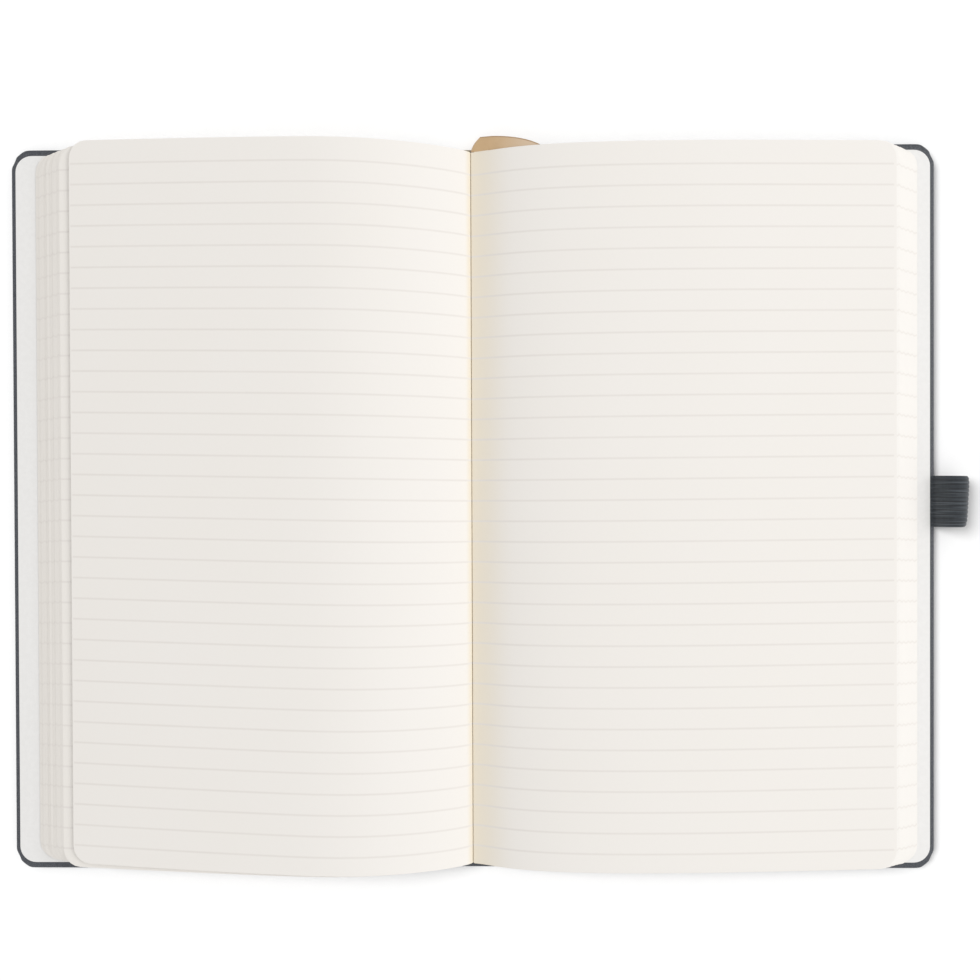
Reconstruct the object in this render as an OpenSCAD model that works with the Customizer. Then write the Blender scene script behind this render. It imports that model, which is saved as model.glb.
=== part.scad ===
// Open hardcover notebook with ruled leaves, lying flat on its covers.
// X runs across the opening, Y towards the head, Z up.
// The origin is on the table, under the middle of the spine.

/* [Cover] */
// Height of the covers, head to tail
cover_h = 210; // [150:1:300]
// Width of one board, from the joint to the fore edge
board_w = 120.6; // [90:0.1:200]
// Thickness of the grey boards
board_t = 2; // [1.8:0.1:3.5]
// Thickness of the leatherette
skin_t = 0.4; // [0.2:0.05:0.6]
// Radius of the two fore-edge corners of a cover
corner_r = 6; // [2:0.5:14]
// Width of leatherette turned in over the edges of a board
turn_in_w = 15; // [8:1:25]

/* [Spine and joints] */
// Width of the card strip in the spine
spine_w = 14; // [8:0.5:30]
// Thickness of the card strip
strip_t = 0.8; // [0.5:0.1:1.2]
// Width of the joint between the strip and a board
joint_w = 6; // [5:0.5:10]
// Height of the groove that is pressed up into a joint
groove_h = 1; // [0.4:0.1:1.3]
// Thickness of the gauze lining glued on the back of the leaves
lining_t = 0.3; // [0.2:0.05:0.5]
// How far the lining stops short of the turned-in leatherette
lining_clearance = 2; // [1:0.5:10]
// Air between the lining and the strip in the hollow back
hollow_gap = 0.25; // [0.1:0.05:0.4]

/* [Endpapers] */
// Thickness of the pasted endpapers
endpaper_t = 0.2; // [0.1:0.05:0.4]
// Leatherette left bare along the fore edge of a cover
bare_fore = 1.3; // [0.5:0.1:5]
// Leatherette left bare along the head and the tail
bare_end = 1.8; // [0.5:0.1:6]

/* [Leaves] */
// How far the covers stand out past the leaves at head and tail
square = 1.75; // [1:0.05:6]
// Radius of the fore-edge corners of the leaves
leaf_r = 5; // [1:0.5:12]
// Air between the lowest leaf and the endpaper
leaf_gap = 0.1; // [0.05:0.05:0.3]
// Thickness of the leaves at the bottom of the gutter
gutter_t = 1.3; // [0.8:0.1:3]
// Groups of leaves that show as steps at each fore edge
groups = 8; // [3:1:10]

/* [Left leaves] */
// Cover that shows outside the lowest left leaf
left_margin = 7.1; // [3:0.1:20]
// How far the fore edge of the left leaves fans inwards
left_fan = 8.5; // [2:0.1:15]
// How far the loose top leaf stops short of the leaf under it
left_setback = 4; // [0:0.1:8]
// Height of the left hump above the cover
left_swell = 12.7; // [8:0.1:20]
// Distance of the left hump from the gutter
left_hump_x = 41; // [30:1:60]
// Height of the left leaves above the cover at their fore edge
left_fore_h = 5.7; // [3:0.1:12]
// Roundness of the left hump
left_round = 23; // [15:1:26]
// Slope of the left leaves at their fore edge
left_slope = 0.13; // [0:0.01:0.2]
// Climb of the head of the loose leaf, in degrees
left_skew = 1.1; // [0:0.1:1.5]

/* [Right leaves] */
// Cover that shows outside the lowest right leaf
right_margin = 4.9; // [3:0.1:20]
// How far the fore edge of the right leaves fans inwards
right_fan = 8.3; // [2:0.1:15]
// Height of the right hump above the cover
right_swell = 8.6; // [6:0.1:18]
// Distance of the right hump from the gutter
right_hump_x = 52; // [35:1:65]
// Height of the right leaves above the cover at their fore edge
right_fore_h = 5.9; // [3:0.1:8]
// Roundness of the right hump
right_round = 42; // [20:1:45]
// Slope of the right leaves at their fore edge
right_slope = 0.05; // [0:0.01:0.2]
// Climb of the head of the top leaf, in degrees
right_skew = 0.35; // [0:0.05:1]

/* [Ribbon] */
// Width of the satin ribbon
ribbon_w = 5; // [4:0.5:7]
// Thickness of the satin ribbon
ribbon_t = 0.25; // [0.2:0.05:0.4]
// Gap between the lining and the glued end of the ribbon
ribbon_gap = 0.65; // [0.3:0.05:3]
// Distance from the gutter to the ribbon behind the leaves
ribbon_root_x = 2.9; // [2.5:0.1:4]
// How far past the head of the leaves the middle of the ribbon folds over
ribbon_fold = 2.2; // [2:0.1:5]
// Slant of the fold, in degrees
fold_slant = 37; // [25:1:40]
// How far the fold bulges out
fold_bulge = 0.5; // [0.4:0.1:1.5]
// Length along the head in which the ribbon turns down the page
ribbon_turn = 13.3; // [10:0.1:25]
// Distance from the gutter to the ribbon between the leaves
ribbon_x = 25; // [20:0.5:40]
// Depth of the ribbon below the top right leaf
ribbon_depth = 0.4; // [0.35:0.05:0.6]
// How far the ribbon ends above the tail of the leaves
ribbon_short = 20; // [10:1:100]
// Air round the ribbon between the leaves
ribbon_clearance = 0.1; // [0.05:0.05:0.2]

/* [Pen loop] */
// Width of the elastic band
loop_w = 14.8; // [8:0.2:25]
// Thickness of the elastic band over a rib
loop_t = 0.9; // [0.6:0.1:0.9]
// How far the loop stands out past the cover
loop_reach = 9.2; // [8:0.1:20]
// Height of the loop, outside
loop_h = 8.4; // [7:0.1:14]
// Distance of the middle of the loop above the middle of the cover
loop_y = 1.7; // [-40:0.1:40]
// Length of each end glued in under the endpaper
loop_tail = 12; // [6:1:20]
// Ribs across the width of the band
loop_ribs = 12; // [5:1:20]
// Depth of the grooves between the ribs
rib_depth = 0.2; // [0.1:0.05:0.3]
// Air under the loop
loop_lift = 0.3; // [0.1:0.1:2]

/* [Hidden] */

half_spine = spine_w / 2;
hinge_x = half_spine + joint_w / 2;
board_x = half_spine + joint_w;
cover_half = board_x + board_w + skin_t;
half_h = cover_h / 2;
board_top = skin_t + board_t;
strip_top = skin_t + strip_t;
crown_top = skin_t + groove_h;
turn_in_x = cover_half - skin_t - turn_in_w;
turn_in_y = half_h - skin_t - turn_in_w;
lining_half_h = turn_in_y - lining_clearance;
cover_top = board_top + skin_t + endpaper_t;
back_z = strip_top + hollow_gap + lining_t;
gutter_z = back_z + gutter_t;
base_z = cover_top + leaf_gap;
leaf_half_h = half_h - square;

leatherette = [0.28, 0.30, 0.33];
greyboard = [0.62, 0.59, 0.54];
card = [0.70, 0.66, 0.58];
endpaper = [0.90, 0.88, 0.85];
cream = [0.95, 0.93, 0.88];
gauze = [0.86, 0.84, 0.78];
satin = [0.78, 0.64, 0.46];
elastic = [0.20, 0.22, 0.25];

curve_steps = 9;
joint_steps = 8;
corner_steps = 8;
far = 500;

// Helpers
function mix(a, b, w) = a + (b - a) * w;
function ease(w) = (1 - cos(180 * w)) / 2;
function unit(v) = v / norm(v);
function reversed(list) = [for (i = [len(list) - 1 : -1 : 0]) list[i]];
function bezier(p, t) = p[0] * pow(1 - t, 3) + 3 * p[1] * pow(1 - t, 2) * t
                      + 3 * p[2] * (1 - t) * t * t + p[3] * pow(t, 3);

// A profile drawn in X and Z, as a bar of this length along Y
module along_y(length) {
    rotate([90, 0, 0])
        linear_extrude(height = length, center = true)
            children();
}

module box(low, high) {
    translate(low)
        cube(high - low);
}

// Outline with two rounded corners at its fore edge; the head and tail climb by skew degrees
function rounded_outline(x0, x1, half, r, skew) = [
    for (p = [
        [x0, -half],
        for (i = [0 : corner_steps])
            [x1 - r, r - half] + r * [sin(90 * i / corner_steps), -cos(90 * i / corner_steps)],
        for (i = [0 : corner_steps])
            [x1 - r, half - r] + r * [cos(90 * i / corner_steps), sin(90 * i / corner_steps)],
        [x0, half]])
    [p[0], p[1] + (p[0] - x0) * tan(skew)]];

// Cover and spine
// Height of the outside of the leatherette: on the table, or up in the groove of a joint
function skin_z(x) = groove_h * ease(1 - min(1, abs(abs(x) - hinge_x) / (joint_w / 2)));

// Height of the bed, which is what the turned-in leatherette and the endpaper lie on
function bed_z(x) =
    let (a = abs(x))
    a <= half_spine ? strip_top
    : a <= hinge_x ? mix(strip_top, crown_top, ease((a - half_spine) / (joint_w / 2)))
    : a <= board_x ? mix(crown_top, board_top, ease((a - hinge_x) / (joint_w / 2)))
    : board_top;

joint_xs = [for (i = [0 : joint_steps]) mix(hinge_x, board_x, i / joint_steps)];
spine_side_xs = [for (i = [0 : joint_steps]) mix(half_spine, hinge_x, i / joint_steps)];
cover_xs = [each joint_xs, cover_half];
spine_xs = [for (x = reversed(spine_side_xs)) -x, each spine_side_xs];

// What lies between two heights, which are the outside or the bed plus a rise
module skin_to_bed(xs, low_rise, high_rise, length) {
    along_y(length)
        polygon([for (x = xs) [x, skin_z(x) + low_rise],
                 for (x = reversed(xs)) [x, bed_z(x) + high_rise]]);
}

module on_bed(xs, low_rise, high_rise, length) {
    along_y(length)
        polygon([for (x = xs) [x, bed_z(x) + low_rise],
                 for (x = reversed(xs)) [x, bed_z(x) + high_rise]]);
}

// A cover seen from above, with its edges drawn in
module cover_plan(fore, end, height) {
    linear_extrude(height = height)
        polygon(rounded_outline(hinge_x, cover_half - fore, half_h - end,
                                corner_r - min(fore, end), 0));
}

// The part of a cover inside the turned-in edges, from a rise above the bed upwards
module inside_turn_in(inset, rise) {
    x1 = turn_in_x - inset;
    along_y(2 * (turn_in_y - inset))
        polygon([[hinge_x - 1, bed_z(hinge_x) + rise],
                 for (x = joint_xs) [x, bed_z(x) + rise],
                 [x1, board_top + rise], [x1, far], [hinge_x - 1, far]]);
}

module board_shape() {
    intersection() {
        cover_plan(skin_t, skin_t, board_top);
        box([board_x, -half_h, skin_t], [cover_half, half_h, board_top]);
    }
}

module cover_skin_shape() {
    difference() {
        intersection() {
            skin_to_bed(cover_xs, 0, skin_t, cover_h);
            cover_plan(0, 0, far);
        }
        intersection() {
            skin_to_bed(cover_xs, skin_t, 0, cover_h);
            cover_plan(skin_t, skin_t, far);
        }
        inside_turn_in(0, 0);
    }
}

// The endpaper steps down from the turned-in edges to the board
module pastedown_shape() {
    difference() {
        intersection() {
            on_bed(cover_xs, 0, skin_t + endpaper_t, cover_h);
            cover_plan(bare_fore, bare_end, far);
        }
        difference() {
            on_bed(cover_xs, -1, skin_t, 2 * cover_h);
            inside_turn_in(0, 0);
        }
        inside_turn_in(endpaper_t, endpaper_t);
    }
}

module front_board() {
    color(greyboard)
        mirror([1, 0, 0]) board_shape();
}

module front_cover_skin() {
    color(leatherette)
        mirror([1, 0, 0]) cover_skin_shape();
}

module front_pastedown() {
    color(endpaper)
        mirror([1, 0, 0]) pastedown_shape();
}

module back_board() {
    color(greyboard)
        difference() {
            board_shape();
            loop_seat();
        }
}

module back_cover_skin() {
    color(leatherette)
        difference() {
            cover_skin_shape();
            loop_seat();
        }
}

module back_pastedown() {
    color(endpaper) pastedown_shape();
}

module spine_strip() {
    color(card)
        box([-half_spine, skin_t - half_h, skin_t], [half_spine, half_h - skin_t, strip_top]);
}

module spine_skin() {
    color(leatherette)
        difference() {
            skin_to_bed(spine_xs, 0, skin_t, cover_h);
            skin_to_bed(spine_xs, skin_t, 0, cover_h - 2 * skin_t);
            on_bed(spine_xs, 0, far, 2 * turn_in_y);
        }
}

module spine_lining() {
    color(gauze)
        box([-half_spine, -lining_half_h, back_z - lining_t], [half_spine, lining_half_h, back_z]);
}

// Leaves
left_reach = cover_half - left_margin;
right_reach = cover_half - right_margin;

// Height of the lowest leaf, which climbs from the back over the joint to the endpaper
lowest_leaf = [[half_spine, back_z],
               for (x = joint_xs) [x, bed_z(x) + skin_t + endpaper_t + leaf_gap]];

// Seven points that guide a leaf from the gutter over its hump to its fore edge,
// at depth w from 0 beside the cover to 1 on top
function leaf_guides(w, rise, hump, round, fore, edge_x) = [
    [mix(half_spine, 0, w), mix(back_z, gutter_z, w)],
    [mix(half_spine, 0, w), mix(back_z, gutter_z, w)] + mix([0.5, base_z - back_z], rise, w),
    [mix(half_spine + 2, hump[0] - round, w), mix(base_z, hump[1], w)],
    [hump[0], mix(base_z, hump[1], w)],
    [hump[0] + round / 2, mix(base_z, hump[1], w)],
    [edge_x, mix(base_z, fore[0], w)] + mix([-1, 0], [-1, fore[1]], w) * round,
    [edge_x, mix(base_z, fore[0], w)]];

function leaf_line(g) = [
    for (i = [0 : curve_steps]) bezier([g[0], g[1], g[2], g[3]], i / curve_steps),
    for (i = [1 : curve_steps]) bezier([g[3], g[4], g[5], g[6]], i / curve_steps)];

function left_line(w, edge_x) =
    leaf_line(leaf_guides(w, [0.2, 2.4], [left_hump_x, base_z + left_swell], left_round,
                          [base_z + left_fore_h, left_slope], edge_x));

function right_line(w, edge_x) =
    leaf_line(leaf_guides(w, [7.9, 1.6], [right_hump_x, base_z + right_swell], right_round,
                          [base_z + right_fore_h, right_slope], edge_x));

// All the leaves of one side, from the lowest up to the one on this line
module leaves_up_to(line, edge_x, skew) {
    intersection() {
        along_y(2 * cover_h)
            polygon([[0, back_z], if (line[0][0] > 0) [0, line[0][1]], each line,
                     line[len(line) - 1] + [leaf_r, 0],
                     [edge_x + leaf_r, base_z], each reversed(lowest_leaf)]);
        linear_extrude(height = far)
            polygon(rounded_outline(-leaf_r, edge_x, leaf_half_h, leaf_r, skew));
    }
}

module left_leaves() {
    for (i = [1 : groups]) {
        edge_x = left_reach - left_fan * (i - 1) / (groups - 1);
        leaves_up_to(left_line(i / (groups + 1), edge_x), edge_x, 0);
    }
    leaves_up_to(left_line(1, left_reach - left_fan), left_reach - left_fan - left_setback,
                 left_skew);
}

module right_leaves() {
    for (i = [1 : groups + 1]) {
        w = i / (groups + 1);
        edge_x = right_reach - right_fan * (i - 1) / groups;
        leaves_up_to(right_line(w, edge_x), edge_x, i > groups ? right_skew : 0);
    }
}

module text_block() {
    color(cream)
        difference() {
            union() {
                mirror([1, 0, 0]) left_leaves();
                right_leaves();
            }
            ribbon_room();
        }
}

// Ribbon
ribbon_line = right_line(1, right_reach - right_fan);
ribbon_root_z = back_z + ribbon_t / 2;
ribbon_start_y = lining_half_h + ribbon_gap;
ribbon_fold_y = leaf_half_h + ribbon_fold;
ribbon_end_y = ribbon_short - leaf_half_h;
fold_across = [1, tan(fold_slant)];
fold_out = [-sin(fold_slant), cos(fold_slant)];
turn_steps = 14;
fold_steps = 6;
ribbon_columns = [-1, -1/3, 1/3, 1];

// Height of the middle of the ribbon between the leaves, which follows the leaf on top
function ribbon_z(x) = lookup(x, ribbon_line) - ribbon_depth - ribbon_t / 2;

// Middle of the ribbon seen from above, from the fold along the head and down the page
function turn_at(t) =
    bezier([[ribbon_root_x, ribbon_fold_y],
            [mix(ribbon_root_x, ribbon_x, 0.4), ribbon_fold_y - 1.2],
            [ribbon_x, ribbon_fold_y - 1.7],
            [ribbon_x, leaf_half_h - ribbon_turn]], t);

// From the middle of the ribbon to its outer edge, for a ribbon one wide on each side;
// it is slanted where the ribbon leaves its fold
function turn_across(t) =
    let (along = unit(turn_at(t + 0.01) - turn_at(t - 0.01)),
         slant = max(0, 1 - t * turn_steps / 2))
    mix([-along[1], along[0]], fold_across, slant);

// A ring is the points across the ribbon, with the direction in which it is thick
function flat_ring(y, slant) = [
    [for (c = ribbon_columns)
        [ribbon_root_x + c * ribbon_w / 2, y + slant * c * ribbon_w / 2, ribbon_root_z]],
    [0, 0, 1]];

function fold_ring(turned) = [
    [for (c = ribbon_columns)
        let (p = [ribbon_root_x, ribbon_fold_y] + c * fold_across * ribbon_w / 2
                 + fold_out * fold_bulge * sin(turned))
        [p[0], p[1], mix(ribbon_root_z, ribbon_z(p[0]), (1 - cos(turned)) / 2)]],
    [-fold_out[0] * sin(turned), -fold_out[1] * sin(turned), cos(turned)]];

function page_ring(middle, across) = [
    [for (c = ribbon_columns)
        let (p = middle + c * across * ribbon_w / 2)
        [p[0], p[1], ribbon_z(p[0])]],
    [0, 0, -1]];

ribbon_rings = [
    flat_ring(ribbon_start_y, 0),
    flat_ring(leaf_half_h - 4, 0),
    for (i = [0 : fold_steps]) fold_ring(180 * i / fold_steps),
    for (i = [1 : turn_steps]) page_ring(turn_at(i / turn_steps), turn_across(i / turn_steps)),
    page_ring([ribbon_x, ribbon_end_y], [1, 0])];

// A flat strip through these rings
module strip(rings, thick) {
    n = len(rings[0][0]);
    last = len(rings) - 1;
    points = [for (ring = rings)
        each [for (p = ring[0]) p - ring[1] * thick / 2,
              for (p = reversed(ring[0])) p + ring[1] * thick / 2]];
    round = 2 * n;
    function ends(a) = [for (k = [0 : n - 2]) each
        [[a + k, a + k + 1, a + round - 1 - k], [a + k + 1, a + round - 2 - k, a + round - 1 - k]]];
    polyhedron(points, [
        each ends(0),
        for (i = [0 : last - 1], k = [0 : round - 1])
            let (a = round * i + k, b = round * i + (k + 1) % round)
            each [[a, a + round, b + round], [a, b + round, b]],
        for (f = ends(round * last)) reversed(f)]);
}

module ribbon_marker() {
    color(satin)
        strip(ribbon_rings, ribbon_t);
}

// Room for the glued end behind the leaves and for the long run between them
module ribbon_room() {
    c = ribbon_clearance;
    half = ribbon_w / 2 + c;
    box([ribbon_root_x - half, ribbon_start_y - c, back_z - 1],
        [ribbon_root_x + half, half_h, back_z + ribbon_t + c]);
    edge_x = ribbon_x + 2 * ribbon_w;
    xs = [0, for (p = ribbon_line) if (p[0] > 0 && p[0] < edge_x) p[0], edge_x];
    intersection() {
        along_y(2 * cover_h)
            polygon([for (x = xs) [x, ribbon_z(x) - ribbon_t / 2 - c],
                     for (x = reversed(xs)) [x, ribbon_z(x) + ribbon_t / 2 + c]]);
        linear_extrude(height = far)
            polygon([for (i = [0 : turn_steps])
                         turn_at(i / turn_steps) + turn_across(i / turn_steps) * half,
                     [ribbon_x + half, ribbon_end_y - c],
                     [ribbon_x - half, ribbon_end_y - c],
                     for (i = [turn_steps : -1 : 0])
                         turn_at(i / turn_steps) - turn_across(i / turn_steps) * half]);
    }
}

// Pen loop
neck_z = board_top + skin_t - loop_t;
loop_low = loop_lift + loop_t / 2;
loop_high = loop_lift + loop_h - loop_t / 2;
loop_tip = [cover_half + loop_reach - loop_t / 2, (loop_low + loop_high) / 2];
rib_pitch = loop_w / loop_ribs;
rib_w = 0.6 * rib_pitch;

// One half of the loop, from the neck round to the tip, through its highest or lowest point
function half_loop(start_z, extreme_z) =
    let (pull = (extreme_z - (start_z + loop_tip[1]) / 8) / 0.75)
    [for (i = [0 : curve_steps])
        bezier([[cover_half, start_z],
                [mix(cover_half, loop_tip[0], 0.4), pull],
                [loop_tip[0], pull],
                loop_tip], i / curve_steps)];

loop_path = [each half_loop(neck_z + loop_t / 2, loop_high),
             for (i = [curve_steps - 1 : -1 : 0])
                 half_loop(neck_z - loop_t / 2, loop_low)[i]];

// The path moved sideways: outwards, or inwards by a negative offset
function band_side(offset) = [
    for (i = [0 : len(loop_path) - 1])
        let (last = len(loop_path) - 1,
             along = i == 0 ? [1, 0] : i == last ? [-1, 0]
                   : unit(loop_path[i + 1] - loop_path[i - 1]))
        loop_path[i] + [-along[1], along[0]] * offset];

// A length of band, open inside as far as the neck, where its two ends are joined
module band(thick, width) {
    difference() {
        along_y(width)
            polygon(band_side(thick / 2));
        along_y(width + 1)
            polygon([for (p = band_side(-thick / 2)) if (p[0] > cover_half + loop_t) p]);
    }
}

module loop_seat() {
    box([cover_half - skin_t - loop_tail, loop_y - loop_w / 2, neck_z - loop_t],
        [cover_half + 1, loop_y + loop_w / 2, neck_z + loop_t]);
}

module pen_loop() {
    color(elastic) {
        box([cover_half - skin_t - loop_tail, loop_y - loop_w / 2, neck_z - loop_t],
            [cover_half, loop_y + loop_w / 2, neck_z + loop_t]);
        translate([0, loop_y, 0]) {
            band(loop_t - 2 * rib_depth, loop_w);
            for (i = [0 : loop_ribs - 1])
                translate([0, (loop_w - rib_w) * (i / (loop_ribs - 1) - 0.5), 0])
                    band(loop_t, rib_w);
        }
    }
}

front_board();
front_cover_skin();
front_pastedown();
back_board();
back_cover_skin();
back_pastedown();
spine_strip();
spine_skin();
spine_lining();
text_block();
ribbon_marker();
pen_loop();
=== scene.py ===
# %% [markdown]
# # An open hardcover notebook
#
# The object is a ruled journal lying open near its middle, seen from straight above. Its solids come
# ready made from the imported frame, at their real size. This file dresses them: paper that arches out
# of the gutter, leatherette, a satin ribbon and a ribbed elastic loop.
#
# Everything is in metres, in the frame of the solids: X across the opening, Y towards the head, Z up.

# %% Load the frame
import math
import random

from bisect import bisect_right

import bmesh
import bpy
from mathutils import Euler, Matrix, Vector
from mathutils.geometry import interpolate_bezier


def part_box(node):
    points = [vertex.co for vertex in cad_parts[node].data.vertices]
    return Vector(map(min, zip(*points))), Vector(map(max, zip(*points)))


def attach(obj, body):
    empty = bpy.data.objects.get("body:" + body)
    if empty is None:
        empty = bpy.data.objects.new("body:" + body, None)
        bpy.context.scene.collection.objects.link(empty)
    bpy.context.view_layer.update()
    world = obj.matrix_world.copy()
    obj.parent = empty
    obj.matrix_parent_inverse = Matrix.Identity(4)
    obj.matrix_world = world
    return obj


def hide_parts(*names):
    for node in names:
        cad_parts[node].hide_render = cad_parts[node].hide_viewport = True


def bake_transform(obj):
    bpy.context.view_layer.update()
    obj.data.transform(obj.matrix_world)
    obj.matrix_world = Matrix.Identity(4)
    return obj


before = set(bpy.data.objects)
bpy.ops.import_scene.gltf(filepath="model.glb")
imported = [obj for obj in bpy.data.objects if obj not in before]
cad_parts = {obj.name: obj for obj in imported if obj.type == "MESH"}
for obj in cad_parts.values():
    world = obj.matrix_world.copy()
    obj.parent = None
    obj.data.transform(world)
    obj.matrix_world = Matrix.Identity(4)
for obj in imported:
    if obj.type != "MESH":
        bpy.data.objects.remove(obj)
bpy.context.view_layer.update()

MM = 0.001

# %% [markdown]
# ## Camera
#
# The view is from about 300 mm above the book, so close that the humps of the pages bow the head and
# tail edges outwards. That bow is perspective, so it comes from the camera's distance and not from
# the paper. The camera leans by half a degree, which is what makes the cover's corners uneven.

# %% Camera
CAMERA_PLACE = Vector((8.71, 7.85, 300.0)) * MM
CAMERA_LEAN = [math.radians(a) for a in (-0.476, 0.647, -0.203)]
CAMERA_LENS = 37.52

camera = bpy.data.objects.new("camera", bpy.data.cameras.new("camera"))
camera.location = CAMERA_PLACE
camera.rotation_euler = Euler(CAMERA_LEAN, "XYZ")
camera.data.lens = CAMERA_LENS
camera.data.sensor_width = 36.0
camera.data.clip_start = 0.01
bpy.context.scene.collection.objects.link(camera)
bpy.context.scene.camera = camera
print("camera", [round(v, 4) for v in camera.location], "lens", camera.data.lens)

# %% [markdown]
# ## Helpers
#
# Each piece starts as a bmesh, is shaped there, and becomes an object that sits at the origin with its
# place in its mesh. One helper does that last step, fills its slot and hangs it on its body, when it has
# one.

# %% From bmesh to a piece that rides on a body
def finish_piece(bm, name, body, material, replaced=(), smooth_angle=35):
    """Rides on the body if one is given; an edge sharper than the angle stays crisp."""
    bmesh.ops.recalc_face_normals(bm, faces=bm.faces)
    mesh = bpy.data.meshes.new(name)
    for face in bm.faces:
        face.smooth = True
    for edge in bm.edges:
        edge.smooth = edge.is_manifold and edge.calc_face_angle() < math.radians(smooth_angle)
    bm.to_mesh(mesh)
    bm.free()
    mesh.materials.append(material)
    piece = bpy.data.objects.new(name, mesh)
    bpy.context.scene.collection.objects.link(piece)
    if body:
        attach(piece, body)
    if replaced:
        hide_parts(*replaced)
    triangles = sum(len(p.vertices) - 2 for p in mesh.polygons)
    print(name, "triangles", triangles)
    return piece


def mix(a, b, w):
    return a + (b - a) * w


def ease(w):
    return (1 - math.cos(math.pi * w)) / 2


# %% [markdown]
# ## Sizes from the frame
#
# The solids already say how big everything is, so the main sizes are read from their boxes. Only the
# curves have to be described again, because a box says nothing of a curve.

# %% Sizes that the solids give
COVER_HALF = -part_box("front_cover_skin")[0].x
HALF_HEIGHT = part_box("back_cover_skin")[1].y
BOARD_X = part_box("back_board")[0].x
BOARD_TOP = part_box("back_board")[1].z
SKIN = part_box("back_board")[0].z
HALF_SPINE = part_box("spine_strip")[1].x
STRIP_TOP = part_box("spine_strip")[1].z
COVER_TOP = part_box("back_pastedown")[1].z
BACK_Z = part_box("spine_lining")[1].z
HINGE_X = (HALF_SPINE + BOARD_X) / 2
JOINT = BOARD_X - HALF_SPINE
print("cover, mm", round(2 * COVER_HALF / MM, 2), "by", round(2 * HALF_HEIGHT / MM, 2))

# %% [markdown]
# ## Nodes for the finishes
#
# A finish is a small graph of nodes. Two helpers keep each graph readable: one adds a node and fills
# its sockets with values or with other nodes' outputs, and one does sums.

# %% Node helpers
def add_node(tree, kind, sockets=None, **settings):
    made = tree.nodes.new(kind)
    for name, value in settings.items():
        setattr(made, name, value)
    for name, value in (sockets or {}).items():
        if isinstance(value, bpy.types.NodeSocket):
            tree.links.new(value, made.inputs[name])
        else:
            made.inputs[name].default_value = value
    return made


def calc(tree, operation, *values):
    made = add_node(tree, "ShaderNodeMath", dict(enumerate(values)), operation=operation)
    return made.outputs[0]


def fade(tree, value, start, end):
    """0 before start and 1 after end, smooth in between; start may be larger than end."""
    made = add_node(
        tree, "ShaderNodeMapRange", {0: value, 1: start, 2: end}, interpolation_type="SMOOTHSTEP"
    )
    return made.outputs[0]


def blend_colours(tree, share, first, second):
    made = add_node(tree, "ShaderNodeMix", {0: share, 6: first, 7: second}, data_type="RGBA")
    return made.outputs[2]


def noise_at(tree, place, size, detail=2.0):
    """Cloudy noise whose lumps are about this size in metres."""
    made = add_node(
        tree, "ShaderNodeTexNoise", {"Vector": place, "Scale": 1 / size, "Detail": detail}
    )
    return made.outputs["Fac"]


def bump(tree, shader, height, depth, strength=1.0):
    made = add_node(
        tree, "ShaderNodeBump", {"Height": height, "Distance": depth, "Strength": strength}
    )
    tree.links.new(made.outputs["Normal"], shader.inputs["Normal"])


def new_finish(name, roughness, **sockets):
    material = bpy.data.materials.new(name)
    material.use_nodes = True
    tree = material.node_tree
    shader = tree.nodes["Principled BSDF"]
    shader.inputs["Roughness"].default_value = roughness
    for socket, value in sockets.items():
        shader.inputs[socket.replace("_", " ")].default_value = value
    place = add_node(tree, "ShaderNodeTexCoord").outputs["Object"]
    return material, tree, shader, place


# %% [markdown]
# ## Ruled paper
#
# The paper is uncoated cream stock with 34 pale grey-brown lines to a page. The lines are printed, so
# they are colour and not shape. Each leaf carries a UV map in metres: U is the distance from its fore
# edge and V the height on the page, so the same sums rule every leaf, however it bends.
#
# Two attributes of the faces tell the leaves apart. The tone makes some sheets a little warmer, and
# the mark "under" is 1 on leaves that lie below another one, whose lines show more faintly.

# %% Where the lines are
LINE_PITCH = 5.9 * MM
FIRST_LINE = 96.66 * MM
LINES = 34
LINE_SOLID = 0.06 * MM
LINE_SOFT = 0.45 * MM
LINE_FADES_IN = 0.5 * MM
PAPER = (0.905, 0.875, 0.840, 1)
PAPER_WARM = (0.895, 0.860, 0.812, 1)
# The next colour is painted light for the fanned edges on the right.
PAPER_PAINTED_LIT = (0.93, 0.905, 0.87, 1)
# The next colour is painted shade for the fold.
FOLD_PAINTED_SHADE = (0.87, 0.80, 0.675, 1)
INK = (0.825, 0.787, 0.745, 1)


def on_a_line(tree, place, from_edge, height, under):
    """1 on a printed line and 0 between lines; fainter in places, and on leaves that others cover."""
    step = calc(tree, "DIVIDE", calc(tree, "SUBTRACT", FIRST_LINE, height), LINE_PITCH)
    line = calc(tree, "MINIMUM", calc(tree, "MAXIMUM", calc(tree, "ROUND", step), 0.0), LINES - 1.0)
    away = calc(tree, "MULTIPLY", calc(tree, "ABSOLUTE", calc(tree, "SUBTRACT", step, line)), LINE_PITCH)
    ink = fade(tree, away, LINE_SOFT, LINE_SOLID)
    ink = calc(tree, "MULTIPLY", ink, fade(tree, from_edge, 0.0, LINE_FADES_IN))
    worn = add_node(tree, "ShaderNodeMapRange", {0: noise_at(tree, place, 14 * MM), 3: 0.7, 4: 1.2})
    ink = calc(tree, "MULTIPLY", ink, worn.outputs[0])
    fainter = add_node(tree, "ShaderNodeMapRange", {0: under, 3: 1.0, 4: 0.55})
    return calc(tree, "MULTIPLY", ink, fainter.outputs[0])
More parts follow.
